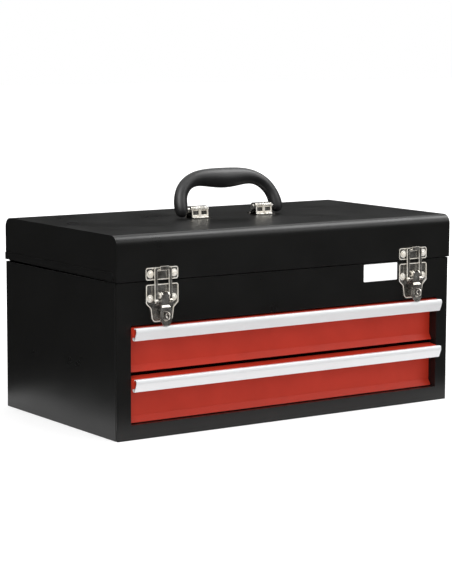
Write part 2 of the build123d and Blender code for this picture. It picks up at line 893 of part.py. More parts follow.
def latch_lever():
    """Over-centre lever: pressed channel at the pivots, stepped finger plate with a window."""
    outer_y = pivot_y - lever_web_reach
    web_top = pivot_z + math.sqrt(lever_top_radius**2 - lever_web_reach**2)
    step_z = pivot_z - lever_flange_end + lever_step_drop / 2
    tip_z = pivot_z - lever_length
    points = [
        (outer_y, web_top),
        (outer_y, step_z),
        (lever_face_y, step_z - lever_step_drop),
        (lever_face_y, tip_z + lever_tip_kick_height),
        (lever_face_y - lever_tip_kick, tip_z),
    ]
    web = along_x(bent_sheet(points, latch_sheet, [1.6, 1.6, 4.0]), lever_foot_width / 2)
    half = lever_width / 2
    foot = lever_foot_width / 2
    shape = make_face(
        Polyline(
            (-half, web_top + 1),
            (-half, step_z),
            (-foot, step_z - 2 * lever_step_drop),
            (-foot, tip_z + 2 * lever_step_drop),
            (-half * 0.7, tip_z),
            (half * 0.7, tip_z),
            (foot, tip_z + 2 * lever_step_drop),
            (foot, step_z - 2 * lever_step_drop),
            (half, step_z),
            (half, web_top + 1),
            close=True,
        )
    )
    rounded = shape.vertices().filter_by(lambda v: v.Y < web_top)
    shape = fillet(rounded, 2.0)
    web &= along_y(shape, lever_face_y - 5, 20)
    reach = math.hypot(pivot_y - padlock_y, staple_drop)
    near = staple_drop - staple_height / 2 - window_clearance
    far = reach + staple_height / 2 + window_clearance
    window = RectangleRounded(window_width, far - near, window_width / 2 - 0.1)
    window = Pos(0, pivot_z - (near + far) / 2) * window
    web -= along_y(window, lever_face_y - 5, 20)
    cheek = make_face(
        Polyline(
            (outer_y + latch_sheet / 2, pivot_z),
            (outer_y + latch_sheet / 2, step_z),
            (outer_y + latch_sheet, step_z - 1),
            (link_y + 1.6, link_z - 2.6),
            (link_y + 2.4, link_z),
            (pivot_y + lever_top_radius, pivot_z),
            close=True,
        )
    )
    cheek = cheek + Pos(pivot_y, pivot_z) * Circle(lever_top_radius)
    for sign in (-1, 1):
        web += extrude(Plane.YZ.offset(sign * half) * cheek, amount=-sign * latch_sheet)
    web -= rod_x(pivot_pin_radius + pivot_clearance, (-20, 20), pivot_y, pivot_z)
    web -= rod_x(link_pin_radius + pin_press, (-20, 20), link_y, link_z)
    return web


def loop_pin():
    """Cross pin of the lever that carries the loop."""
    reach = loop_inner / 2 + loop_strap
    pin = rod_x(link_pin_radius, (-reach - 0.3, reach + 0.3), link_y, link_z)
    for sign in (-1, 1):
        head = sorted((sign * (reach + 0.1), sign * (reach + 0.7)))
        pin += rod_x(link_pin_radius + 0.6, head, link_y, link_z)
    return pin


def latch_loop():
    """Loop of flat strip: two straps rolled round the pin and a crossbar in the hook."""
    length = math.hypot(crossbar_z - link_z, crossbar_y - link_y)
    tilt = math.degrees(math.atan2(crossbar_y - link_y, crossbar_z - link_z))
    outer_half = loop_inner / 2 + loop_strap
    top = length + crossbar_height / 2
    frame = Pos(0, top / 2) * Rectangle(2 * outer_half, top)
    frame = fillet(frame.vertices().group_by(Axis.Y)[-1], plate_corner)
    gap = Pos(0, (length - crossbar_height / 2) / 2 - 5) * RectangleRounded(
        loop_inner, length - crossbar_height / 2 + 10, 1.5
    )
    strip = along_y(frame - gap, -loop_sheet / 2, loop_sheet)
    eye_radius = link_pin_radius + pivot_clearance + link_eye_wall
    for sign in (-1, 1):
        span = sorted((sign * loop_inner / 2, sign * outer_half))
        strip += rod_x(eye_radius, span, 0, 0)
    strip -= rod_x(link_pin_radius + pivot_clearance, (-20, 20), 0, 0)
    return Pos(0, link_y, link_z) * Rot(-tilt, 0, 0) * strip


# ---- the chest, node by node ---------------------------------------------------------
def save_pair(name, shape):
    """Write a left piece and its mirror image."""
    save(f"{name}_left", shape)
    save(f"{name}_right", mirrored(shape))


def save_latch(name, shape):
    """Write a latch piece at both latches."""
    save(f"{name}_left", Pos(-latch_x, 0, 0) * shape)
    save(f"{name}_right", Pos(latch_x, 0, 0) * shape)


save("case_wrap", case_wrap())
save("front_panel", front_panel())
save("bottom_pan", bottom_pan())
save("compartment_floor", compartment_floor())
save_pair("slide_upright", slide_upright())

for place, level in drawer_levels.items():
    save_pair(f"slide_outer_{place}", slide_outer(level))
    save_pair(f"slide_inner_{place}", slide_inner(level))
    cage = ball_cage(level)
    save(f"ball_cages_{place}", cage, mirrored(cage))
    balls = [Pos(*centre) * Sphere(ball_radius) for centre in ball_places(level)]
    save(f"slide_balls_{place}", *balls, *[mirrored(ball) for ball in balls])
    save(f"drawer_tray_{place}", drawer_tray(level))
    save(f"drawer_front_{place}", drawer_front(level))
    save(f"drawer_pull_{place}", drawer_pull(level))

save("hinge_leaf_case", hinge_leaf_case())
save("hinge_leaf_lid", hinge_leaf_lid())
save("hinge_pin", hinge_pin())
save("lid_shell", lid_shell())
save_pair("lid_end", lid_end())
save("handle_grip", handle_grip())
save_pair("handle_pin", handle_pin())
save_pair("handle_bracket", handle_bracket())
save("handle_bracket_rivets", *bracket_rivets())

save_latch("latch_keeper", latch_keeper())
save_latch("latch_base", latch_base())
save_latch("latch_staple", latch_staple())
save_latch("latch_lever_pin", lever_pin())
save_latch("latch_lever", latch_lever())
save_latch("latch_loop_pin", loop_pin())
save_latch("latch_loop", latch_loop())
keeper_places = latch_rivet_places(keeper_top - keeper_rivet_drop)
save(
    "latch_keeper_rivets",
    *[rivet(x, lid_front_y - latch_sheet, latch_sheet + lid_sheet, z) for x, z in keeper_places],
)
base_places = latch_rivet_places(base_top - base_rivet_drop)
save(
    "latch_base_rivets",
    *[rivet(x, front_y - latch_sheet, latch_sheet + case_sheet, z) for x, z in base_places],
)
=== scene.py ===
"""Looks of a portable steel tool chest: a black case and lid, two red drawers with aluminium pulls,
plated draw latches and a folding moulded handle.

Metres, +Z up, front towards -Y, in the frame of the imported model.
"""

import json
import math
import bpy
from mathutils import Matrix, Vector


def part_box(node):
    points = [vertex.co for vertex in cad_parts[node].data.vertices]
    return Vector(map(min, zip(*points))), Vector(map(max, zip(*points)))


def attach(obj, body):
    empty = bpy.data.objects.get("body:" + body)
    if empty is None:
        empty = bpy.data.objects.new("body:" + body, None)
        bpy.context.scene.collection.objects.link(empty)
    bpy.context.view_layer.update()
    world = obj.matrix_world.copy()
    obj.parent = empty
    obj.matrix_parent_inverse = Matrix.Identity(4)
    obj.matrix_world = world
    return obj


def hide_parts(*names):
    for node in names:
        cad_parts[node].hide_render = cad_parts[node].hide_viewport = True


bl_info = {
    "name": "Portable tool chest",
    "version": (1, 0, 0),
    "blender": (4, 5, 0),
    "location": "3D View > Sidebar > Tool chest",
    "description": "Builds the finish of a portable two-drawer tool chest piece by piece",
    "category": "Object",
}

import bpy
from mathutils import Matrix, Vector

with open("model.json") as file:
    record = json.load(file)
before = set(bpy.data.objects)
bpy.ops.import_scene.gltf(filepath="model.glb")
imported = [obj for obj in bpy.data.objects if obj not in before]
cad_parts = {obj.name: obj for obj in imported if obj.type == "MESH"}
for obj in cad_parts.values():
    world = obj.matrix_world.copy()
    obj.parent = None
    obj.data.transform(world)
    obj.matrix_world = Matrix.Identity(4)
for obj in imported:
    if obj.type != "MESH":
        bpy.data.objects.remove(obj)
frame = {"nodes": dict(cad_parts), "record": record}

SIDES = ("left", "right")
LEVELS = ("upper", "lower")
BODY_OF = {node: body for body, nodes in frame["record"]["behaviour"]["bodies"].items() for node in nodes}

CREASE_DEGREES = 34            # faces that turn by more than this keep a sharp edge between them
SAME_PLACE = 0.0002            # faces within this of a plane lie in it
LATCH_SHEET = 0.0012           # steel of the latch plates
BASE_RIM = 0.0012              # rim raised in front of a base plate
HARDWARE_ROUNDING = 0.0003
RIVET_HEAD_HEIGHT = 0.0013
RIVET_SHANK_RADIUS = 0.0015
BRACKET_BOSS_RADIUS = 0.0034   # pressed boss round a rivet of a handle bracket
LATCH_BOSS_RADIUS = 0.0046
RIVET_RINGS = ((0.02, 0.3), (0.16, 0.28), (0.2, 0.18), (0.22, 0.12), (0.12, -0.22))
LABEL_THICKNESS = 0.0005
LABEL_CORNER = 0.0012
AIM = Vector((0, 0, 0.12))     # the lamps face this place
KEY_LAMP = ((-1.5, -1.2, 2.4), 1.8)    # place and size
FILL_LAMP = ((2.4, -1.6, 1.5), 1.6)
TOP_LAMP = ((1.25, -0.2, 1.9), 1.0)
FLOOR_SIZE = 24
FLOOR_GLOW = (("From Min", 0.2), ("From Max", 1.6), ("To Min", 0.16), ("To Max", 0.52))


# ---- selecting and shaping ---------------------------------------------------------------------
def take(obj):
    """Makes one object the only selected and the active one."""
    bpy.ops.object.select_all(action="DESELECT")
    obj.select_set(True)
    bpy.context.view_layer.objects.active = obj
    return obj


def apply_modifiers(obj):
    """Applies every modifier of an object."""
    take(obj)
    for modifier in list(obj.modifiers):
        bpy.ops.object.modifier_apply(modifier=modifier.name)


def smooth(obj, degrees):
    """Shades an object smooth, with creases past an angle and its large faces left flat."""
    take(obj)
    bpy.ops.object.shade_smooth_by_angle(angle=math.radians(degrees))
    weighted = obj.modifiers.new("flat large faces", "WEIGHTED_NORMAL")
    weighted.keep_sharp = True
    weighted.weight = 100
    apply_modifiers(obj)


def round_edges(obj, width, segments=2, degrees=32):
    """Rounds the sharp edges of an object; the new faces take its second material, if it has one, which
    carries a painted edge highlight.
    """
    bevel = obj.modifiers.new("edge rounding", "BEVEL")
    bevel.material = len(obj.data.materials) - 1
    bevel.width = width
    bevel.segments = segments
    bevel.limit_method = "ANGLE"
    bevel.angle_limit = math.radians(degrees)
    bevel.use_clamp_overlap = True
    bevel.miter_outer = "MITER_ARC"
    apply_modifiers(obj)


def copy_of_node(node, name):
    """Copy of a CAD node with its points merged and its flat faces joined."""
    source = frame["nodes"][node]
    obj = bpy.data.objects.new(name, source.data.copy())
    bpy.context.scene.collection.objects.link(obj)
    obj.data.materials.clear()
    take(obj)
    bpy.ops.mesh.customdata_custom_splitnormals_clear()
    bpy.ops.object.mode_set(mode="EDIT")
    bpy.ops.mesh.select_all(action="SELECT")
    bpy.ops.mesh.remove_doubles(threshold=1e-6)
    bpy.ops.mesh.dissolve_limited(angle_limit=math.radians(0.3), use_dissolve_boundaries=False)
    bpy.ops.object.mode_set(mode="OBJECT")
    return obj


def stand_for(obj, node):
    """Lets a piece move as the CAD node that it replaces, and hides that node."""
    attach(obj, BODY_OF[node])
    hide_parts(node)
    return obj


def finished_copy(node, rounding, materials, shape=None):
    """Replaces a CAD node by its copy, shaped further and with rounded edges."""
    obj = copy_of_node(node, f"{node}_finish")
    for material in materials:
        obj.data.materials.append(material)
    if shape:
        shape(obj)
    round_edges(obj, rounding)
    smooth(obj, CREASE_DEGREES)
    return stand_for(obj, node)


def pick_faces(obj, wanted):
    """Goes into edit mode with just the faces selected that pass a test of centre and normal."""
    take(obj)
    bpy.ops.object.mode_set(mode="EDIT")
    bpy.ops.mesh.select_mode(type="FACE")
    bpy.ops.mesh.select_all(action="DESELECT")
    bpy.ops.object.mode_set(mode="OBJECT")
    for face in obj.data.polygons:
        face.select = wanted(face.center, face.normal)
    bpy.ops.object.mode_set(mode="EDIT")


def loose_boxes(node):
    """Lowest and highest corner of each separate solid of a CAD node."""
    copy_of_node(node, "measured copy")
    bpy.ops.mesh.separate(type="LOOSE")
    boxes = []
    for part in list(bpy.context.selected_objects):
        points = [vertex.co for vertex in part.data.vertices]
        low = Vector([min(point[axis] for point in points) for axis in range(3)])
        high = Vector([max(point[axis] for point in points) for axis in range(3)])
        boxes.append((low, high))
        bpy.data.objects.remove(part)
    return boxes


def keep_node(node, material):
    """Leaves a CAD node as it is and gives it a material."""
    obj = frame["nodes"][node]
    obj.data.materials.clear()
    obj.data.materials.append(material)
    return obj


def settings():
    """The chest's own settings in this scene."""
    return bpy.context.scene.tool_chest


# ---- shader node groups ------------------------------------------------------------------------
def new_group(name, inputs, outputs):
    """Empty node group with float or vector sockets: (name, kind, default) and (name, kind)."""
    group = bpy.data.node_groups.new(name, "ShaderNodeTree")
    for label, kind, default in inputs:
        socket = group.interface.new_socket(name=label, in_out="INPUT", socket_type=kind)
        socket.default_value = default
    for label, kind in outputs:
        group.interface.new_socket(name=label, in_out="OUTPUT", socket_type=kind)
    start = group.nodes.new("NodeGroupInput")
    end = group.nodes.new("NodeGroupOutput")
    start.location = (-800, 0)
    end.location = (600, 0)
    return group, start, end


def add_node(tree, kind, place=(0, 0), **values):
    """Adds a node, and sets its properties and its inputs by name."""
    node = tree.nodes.new(kind)
    node.location = place
    for key, value in values.items():
        if hasattr(node, key):
            setattr(node, key, value)
        else:
            node.inputs[key].default_value = value
    return node


def fine_grain():
    """Fine grain and wider clouds: Height for a bump, Sheen to vary colour and roughness."""
    found = bpy.data.node_groups.get("fine grain")
    if found:
        return found
    group, start, end = new_group(
        "fine grain",
        [("Grain Size", "NodeSocketFloat", 0.0009), ("Cloud Size", "NodeSocketFloat", 0.05)],
        [("Height", "NodeSocketFloat"), ("Sheen", "NodeSocketFloat")],
    )
    links = group.links
    place = add_node(group, "ShaderNodeTexCoord", (-800, 300))
    per_grain = add_node(group, "ShaderNodeMath", (-600, 100), operation="DIVIDE")
    per_grain.inputs[0].default_value = 1.0
    links.new(start.outputs["Grain Size"], per_grain.inputs[1])
    fine = add_node(group, "ShaderNodeTexNoise", (-380, 240), Detail=2.0, Roughness=0.55)
    links.new(place.outputs["Object"], fine.inputs["Vector"])
    links.new(per_grain.outputs[0], fine.inputs["Scale"])
    per_cloud = add_node(group, "ShaderNodeMath", (-600, -160), operation="DIVIDE")
    per_cloud.inputs[0].default_value = 1.0
    links.new(start.outputs["Cloud Size"], per_cloud.inputs[1])
    cloud = add_node(group, "ShaderNodeTexNoise", (-380, -120), Detail=3.0, Roughness=0.6)
    links.new(place.outputs["Object"], cloud.inputs["Vector"])
    links.new(per_cloud.outputs[0], cloud.inputs["Scale"])
    links.new(fine.outputs["Fac"], end.inputs["Height"])
    links.new(cloud.outputs["Fac"], end.inputs["Sheen"])
    return group


def drawn_lines():
    """Fine lines left along X by drawing or brushing: Height and Sheen."""
    found = bpy.data.node_groups.get("drawn lines")
    if found:
        return found
    group, start, end = new_group(
        "drawn lines",
        [("Line Width", "NodeSocketFloat", 0.0004), ("Stretch", "NodeSocketFloat", 60.0)],
        [("Height", "NodeSocketFloat"), ("Sheen", "NodeSocketFloat")],
    )
    links = group.links
    place = add_node(group, "ShaderNodeTexCoord", (-800, 300))
    split = add_node(group, "ShaderNodeSeparateXYZ", (-620, 300))
    links.new(place.outputs["Object"], split.inputs[0])
    squeeze = add_node(group, "ShaderNodeMath", (-440, 380), operation="DIVIDE")
    links.new(split.outputs["X"], squeeze.inputs[0])
    links.new(start.outputs["Stretch"], squeeze.inputs[1])
    join = add_node(group, "ShaderNodeCombineXYZ", (-260, 300))
    links.new(squeeze.outputs[0], join.inputs["X"])
    links.new(split.outputs["Y"], join.inputs["Y"])
    links.new(split.outputs["Z"], join.inputs["Z"])
    per_line = add_node(group, "ShaderNodeMath", (-440, 60), operation="DIVIDE")
    per_line.inputs[0].default_value = 1.0
    links.new(start.outputs["Line Width"], per_line.inputs[1])
    lines = add_node(group, "ShaderNodeTexNoise", (-60, 240), Detail=3.0, Roughness=0.6)
    links.new(join.outputs[0], lines.inputs["Vector"])
    links.new(per_line.outputs[0], lines.inputs["Scale"])
    cloud = add_node(group, "ShaderNodeTexNoise", (-60, -80), Scale=14.0, Detail=2.0)
    links.new(place.outputs["Object"], cloud.inputs["Vector"])
    links.new(lines.outputs["Fac"], end.inputs["Height"])
    links.new(cloud.outputs["Fac"], end.inputs["Sheen"])
    return group


def place_group(tree, group, location, **values):
    """Puts a node group in a material with its own values; a gap in a name is written as _."""
    node = add_node(tree, "ShaderNodeGroup", location)
    node.node_tree = group
    for key, value in values.items():
        node.inputs[key.replace("_", " ")].default_value = value
    return node


# ---- materials ---------------------------------------------------------------------------------
def new_material(name):
    """Material with its Principled shader, tree and links."""
    material = bpy.data.materials.new(name)
    material.use_nodes = True
    tree = material.node_tree
    return material, tree, tree.nodes["Principled BSDF"]


def ramp(tree, source, low, high, location):
    """Maps a 0..1 value onto a range."""
    node = add_node(tree, "ShaderNodeMapRange", location)
    node.inputs["From Min"].default_value = 0.3
    node.inputs["From Max"].default_value = 0.7
    node.inputs["To Min"].default_value = low
    node.inputs["To Max"].default_value = high
    tree.links.new(source, node.inputs["Value"])
    return node.outputs[0]


def blend_colours(tree, mask, first, second, location):
    """Mixes two colours by a mask."""
    node = add_node(tree, "ShaderNodeMix", location, data_type="RGBA")
    node.inputs[6].default_value = (*first, 1.0)
    node.inputs[7].default_value = (*second, 1.0)
    tree.links.new(mask, node.inputs["Factor"])
    return node.outputs[2]


def add_bump(tree, shader, height, distance, strength, location=(-200, -300)):
    """Bump of a given depth in metres."""
    bump = add_node(tree, "ShaderNodeBump", location, Strength=strength, Distance=distance)
    tree.links.new(height, bump.inputs["Height"])
    tree.links.new(bump.outputs[0], shader.inputs["Normal"])
    return bump


def powder_coat(name, colour, roughness, specular, grain, depth):
    """Powder-coated steel: orange peel, with faint clouds in its colour and sheen."""
    found = bpy.data.materials.get(name)
    if found:
        return found
    material, tree, shader = new_material(name)
    shader.inputs["Specular IOR Level"].default_value = specular
    coat = place_group(tree, fine_grain(), (-700, 0), Grain_Size=grain, Cloud_Size=0.06)
    clouds = ramp(tree, coat.outputs["Sheen"], 0.0, 1.0, (-560, 260))
    darker = [channel * 0.86 for channel in colour]
    tree.links.new(
        blend_colours(tree, clouds, darker, colour, (-400, 260)), shader.inputs["Base Color"]
    )
    tree.links.new(
        ramp(tree, coat.outputs["Sheen"], roughness - 0.04, roughness + 0.05, (-400, 0)),
        shader.inputs["Roughness"],
    )
    add_bump(tree, shader, coat.outputs["Height"], depth, 0.5)
    return material


def drawn_metal(name, colour, roughness, width, depth, metallic=1.0):
    """Drawn or brushed metal with lines along X."""
    found = bpy.data.materials.get(name)
    if found:
        return found
    material, tree, shader = new_material(name)
    shader.inputs["Metallic"].default_value = metallic
    lines = place_group(tree, drawn_lines(), (-700, 0), Line_Width=width)
    darker = [channel * 0.9 for channel in colour]
    tree.links.new(
        blend_colours(tree, lines.outputs["Height"], darker, colour, (-400, 260)),
        shader.inputs["Base Color"],
    )
    tree.links.new(
        ramp(tree, lines.outputs["Sheen"], roughness - 0.05, roughness + 0.06, (-400, 0)),
        shader.inputs["Roughness"],
    )
    add_bump(tree, shader, lines.outputs["Height"], depth, 0.4)
    return material


def plated_steel(name, colour, roughness, depth, metallic=1.0):
    """Bright plating over pressed steel with clouds painted darker, depth times as bright, as painted
    dark reflection.
    """
    found = bpy.data.materials.get(name)
    if found:
        return found
    material, tree, shader = new_material(name)
    shader.inputs["Metallic"].default_value = metallic
    uneven = place_group(tree, fine_grain(), (-900, 0), Grain_Size=0.0022, Cloud_Size=0.009)
    # clouds painted darker stand in for dark reflections in the plating
    painted_dark_reflection = [colour[0] * depth, colour[1] * depth * 0.95, colour[2] * depth * 0.86]
    mask = ramp(tree, uneven.outputs["Sheen"], 0.0, 1.0, (-660, 260))
    tree.links.new(
        blend_colours(tree, mask, painted_dark_reflection, colour, (-400, 260)), shader.inputs["Base Color"]
    )
    tree.links.new(
        ramp(tree, uneven.outputs["Sheen"], roughness - 0.03, roughness + 0.06, (-400, 0)),
        shader.inputs["Roughness"],
    )
    add_bump(tree, shader, uneven.outputs["Height"], 0.00008, 0.6)
    return material


def moulded_plastic(name, colour, roughness):
    """Moulded plastic with a fine spark-eroded texture."""
    found = bpy.data.materials.get(name)
    if found:
        return found
    material, tree, shader = new_material(name)
    shader.inputs["Specular IOR Level"].default_value = 0.5
    texture = place_group(tree, fine_grain(), (-700, 0), Grain_Size=0.0006, Cloud_Size=0.03)
    worn = [channel * 1.3 + 0.004 for channel in colour]
    tree.links.new(
        blend_colours(tree, texture.outputs["Sheen"], colour, worn, (-400, 260)),
        shader.inputs["Base Color"],
    )
    tree.links.new(
        ramp(tree, texture.outputs["Sheen"], roughness - 0.04, roughness + 0.05, (-400, 0)),
        shader.inputs["Roughness"],
    )
    add_bump(tree, shader, texture.outputs["Height"], 0.00005, 0.5)
    return material


def case_paint():
    """Face finish of the case and lid, and a lighter copy on the rounded edges that is a painted edge
    highlight.
    """
    colour = settings().case_colour
    # the edge colour is 2.2 times lighter, a painted highlight on the rounded edges, with real lower
    # roughness and more specular
    edge = [channel * 2.2 + 0.006 for channel in colour]
    return (
        powder_coat("black powder coat", colour, 0.31, 0.3, 0.0009, 0.00007),
        powder_coat("black powder coat painted edge highlight", edge, 0.3, 0.8, 0.0009, 0.00002),
    )


def drawer_paint():
    """Face finish of the drawers, and a lighter copy on the rounded edges that is a painted edge
    highlight.
    """
    colour = settings().drawer_colour
    # the edge colour is lighter, a painted highlight on the rounded edges, with real lower roughness and
    # more specular
    edge = [min(1.0, channel * 1.15 + 0.01) for channel in colour]
    return (
        powder_coat("red powder coat", colour, 0.4, 0.18, 0.001, 0.00005),
        powder_coat("red powder coat painted edge highlight", edge, 0.32, 0.5, 0.001, 0.00002),
    )


def plating():
    """Plating of the hardware, its faces with clouds of painted dark reflection, and a lighter, less
    metallic copy that paints highlights on edges, rims and faces turned to the light.
    """
    colour = settings().plating_colour
    # the second finish is 1.55 times lighter and less metallic: a painted highlight
    edge = [min(1.0, channel * 1.55) for channel in colour]
    return (
        plated_steel("bright plating", colour, 0.17, 0.2, 0.85),
        plated_steel("bright plating painted highlight", edge, 0.24, 0.9, 0.38),
    )


def zinc():
    """Zinc-plated steel of the slides and the hinge pin."""
    return drawn_metal("zinc plating", (0.55, 0.56, 0.57), 0.32, 0.0006, 0.00003)


def anodised():
    """Face finish of the drawer pulls, and a lighter copy on the rounded edges that is a painted edge
    highlight.
    """
    colour = settings().pull_colour
    return (
        drawn_metal("satin anodised aluminium", colour, 0.45, 0.0003, 0.00002, 0.3),
        # the edge colour is near white, a painted highlight on the rounded edges
        drawn_metal("satin anodised aluminium painted edge highlight", (0.95, 0.95, 0.95), 0.3, 0.0003, 0.00001, 0.5),
    )


def white_plate():
    """Smooth white plastic of the blank label."""
    material, tree, shader = new_material("white label plate")
    grain = place_group(tree, fine_grain(), (-700, 0), Grain_Size=0.0005, Cloud_Size=0.01)
    tree.links.new(
        blend_colours(tree, grain.outputs["Sheen"], (0.87,) * 3, (0.92,) * 3, (-400, 260)),
        shader.inputs["Base Color"],
    )
    shader.inputs["Roughness"].default_value = 0.4
    add_bump(tree, shader, grain.outputs["Height"], 0.00002, 0.3)
    return material


def black_felt():
    """Dull black cloth of the boards that reflections see."""
    found = bpy.data.materials.get("black felt")
    if found:
        return found
    material, tree, shader = new_material("black felt")
    weave = place_group(tree, fine_grain(), (-700, 0), Grain_Size=0.003, Cloud_Size=0.3)
    tree.links.new(
        blend_colours(tree, weave.outputs["Sheen"], (0.008,) * 3, (0.014,) * 3, (-400, 260)),
        shader.inputs["Base Color"],
    )
    shader.inputs["Roughness"].default_value = 1.0
    shader.inputs["Specular IOR Level"].default_value = 0.0
    return material


def ball_steel():
    """Polished steel of the balls in the slides."""
    return plated_steel("polished ball steel", (0.7, 0.7, 0.7), 0.08, 0.9)


# ---- settings ----------------------------------------------------------------------------------
class ToolChestSettings(bpy.types.PropertyGroup):
    """Colours and sizes of the chest's finish"""

    case_colour: bpy.props.FloatVectorProperty(
        name="Case colour", description="Powder coat of the case and lid", subtype="COLOR",
        size=3, min=0.0, max=1.0, default=(0.0075, 0.0075, 0.0072),
    )
    drawer_colour: bpy.props.FloatVectorProperty(
        name="Drawer colour", description="Powder coat of the drawers", subtype="COLOR",
        size=3, min=0.0, max=1.0, default=(0.50, 0.034, 0.016),
    )
    pull_colour: bpy.props.FloatVectorProperty(
        name="Pull colour", description="Anodised aluminium of the drawer pulls", subtype="COLOR",
        size=3, min=0.0, max=1.0, default=(0.78, 0.79, 0.80),
    )
    plating_colour: bpy.props.FloatVectorProperty(
        name="Plating colour", description="Bright plating of latches and brackets", subtype="COLOR",
        size=3, min=0.0, max=1.0, default=(0.63, 0.615, 0.58),
    )
    grip_colour: bpy.props.FloatVectorProperty(
        name="Grip colour", description="Moulded plastic of the handle", subtype="COLOR",
        size=3, min=0.0, max=1.0, default=(0.008, 0.008, 0.0083),
    )
    edge_rounding: bpy.props.FloatProperty(
        name="Edge rounding", description="Rounding of the cut edges of sheet metal",
        default=0.0003, min=0.0, max=0.002, unit="LENGTH",
    )
    label_size: bpy.props.FloatVectorProperty(
        name="Label size", description="Width and height of the blank plate on the front",
        size=2, default=(0.0544, 0.0223), min=0.0, unit="LENGTH",
    )
    label_place: bpy.props.FloatVectorProperty(
        name="Label place", description="Middle of the blank plate, across and up",
        size=2, default=(0.1402, 0.17615), unit="LENGTH",
    )


class StudioSettings(bpy.types.PropertyGroup):
    """Camera and light round the chest"""

    lens: bpy.props.FloatProperty(
        name="Lens", description="Focal length on a 36 mm sensor", default=121.95, min=10.0,
    )
    camera_place: bpy.props.FloatVectorProperty(
        name="Camera place", description="Where the camera stands", subtype="TRANSLATION",
        size=3, default=(-1.4448, -2.0995, 0.4884), unit="LENGTH",
    )
    yaw: bpy.props.FloatProperty(
        name="Yaw", description="Turn to the right from looking along +Y",
        default=math.radians(34.439), unit="ROTATION",
    )
    pitch: bpy.props.FloatProperty(
        name="Pitch", description="Tilt downwards", default=math.radians(7.671), unit="ROTATION",
    )
    roll: bpy.props.FloatProperty(
        name="Roll", description="Turn about the line of sight",
        default=math.radians(0.221), unit="ROTATION",
    )
    floor_colour: bpy.props.FloatVectorProperty(
        name="Floor colour", description="Pale studio floor", subtype="COLOR",
        size=3, min=0.0, max=1.0, default=(0.92, 0.92, 0.92),
    )
    key_power: bpy.props.FloatProperty(
        name="Key light", description="Power of the large lamp at the upper left, in watts",
        default=48.0, min=0.0,
    )
    fill_power: bpy.props.FloatProperty(
        name="Fill light", description="Power of the lamp at the right, in watts",
        default=18.0, min=0.0,
    )
    top_power: bpy.props.FloatProperty(
        name="Top light", description="Power of the lamp overhead, which draws the bends, in watts",
        default=20.0, min=0.0,
    )
    ambient: bpy.props.FloatProperty(
        name="Ambient", description="Strength of the even light from all round", default=0.8, min=0.0,
    )
    flag_gap: bpy.props.FloatProperty(
        name="Flag gap", description="From the chest to the black boards that lie on the floor",
        default=0.07, min=0.0, unit="LENGTH",
    )
    flag_far: bpy.props.FloatProperty(
        name="Flag reach", description="Far edge of the black boards from the middle of the chest",
        default=2.3, min=0.5, unit="LENGTH",
    )
    flag_height: bpy.props.FloatProperty(
        name="Flag height", description="Height of the upright black boards",
        default=1.6, min=0.0, unit="LENGTH",
    )


# ---- shaping of single pieces ------------------------------------------------------------------
def brighten(obj, wanted):
    """Gives the faces that pass a test of centre and normal the second material, a painted highlight."""
    for face in obj.data.polygons:
        if wanted(face.center, face.normal):
            face.material_index = 1


def press_panels(bracket):
    """Paints a highlight on the outer sloping sides of a handle bracket and presses two shallow panels
    into each, which keep the face finish.
    """
    low = min(vertex.co.z for vertex in bracket.data.vertices)
    high = max(vertex.co.z for vertex in bracket.data.vertices)
    ends = [vertex.co.x for vertex in bracket.data.vertices]
    middle = (min(ends) + max(ends)) / 2

    def on_side(centre, normal):
        return abs(normal.y) > 0.8 and low + 0.3 * (high - low) < centre.z < high

    def on_outer_side(centre, normal):
        return on_side(centre, normal) and centre.y * normal.y > 0

    # the outer sloping sides get a painted highlight; the pressed panels go back to the face finish below
    brighten(bracket, on_outer_side)
    pick_faces(bracket, on_outer_side)
    bpy.ops.mesh.bisect(plane_co=(middle, 0, 0), plane_no=(1, 0, 0))
    bpy.ops.object.mode_set(mode="OBJECT")
    pick_faces(bracket, on_outer_side)
    bpy.ops.mesh.inset(thickness=0.0016, use_individual=True)
    bpy.ops.mesh.inset(thickness=0.0005, depth=-0.0006, use_individual=True)
    bpy.ops.object.mode_set(mode="OBJECT")
    for face in bracket.data.polygons:
        if face.select:
            face.material_index = 0


def press_keeper(keeper):
    """Sinks the face of a keeper plate inside a raised rim; the rim and the faces turned up get a painted
    highlight.
    """
    lid_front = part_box("lid_shell")[0].y
    plate_front = lid_front - LATCH_SHEET

    def on_plate(centre, normal):
        return normal.y < -0.9 and abs(centre.y - plate_front) < SAME_PLACE

    pick_faces(keeper, on_plate)
    bpy.ops.mesh.inset(thickness=0.0011, depth=-0.0004)
    bpy.ops.object.mode_set(mode="OBJECT")
    # the rim and the faces turned up get a painted highlight
    brighten(keeper, on_plate)
    brighten(keeper, lambda centre, normal: normal.z > 0.8)


def brighten_base(base):
    """The raised rim and the ears of a base plate get a painted highlight."""
    rim_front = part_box("front_panel")[0].y - LATCH_SHEET - BASE_RIM

    def on_rim(centre, normal):
        return normal.y < -0.9 and abs(centre.y - rim_front) < SAME_PLACE

    # painted highlight on the rim and the ears
    brighten(base, on_rim)
    brighten(base, lambda centre, normal: centre.y < rim_front - 0.0005)


def brighten_lever(lever):
    """The step and the kicked tip of a lever, turned up, get a painted highlight as if lit from above."""
    brighten(lever, lambda centre, normal: normal.z > 0.3 and normal.y < 0)


def brighten_loop(loop):
    """The narrow sides and the crossbar of a loop get a painted highlight."""
    brighten(loop, lambda centre, normal: abs(normal.x) > 0.7 or normal.z > 0.3)


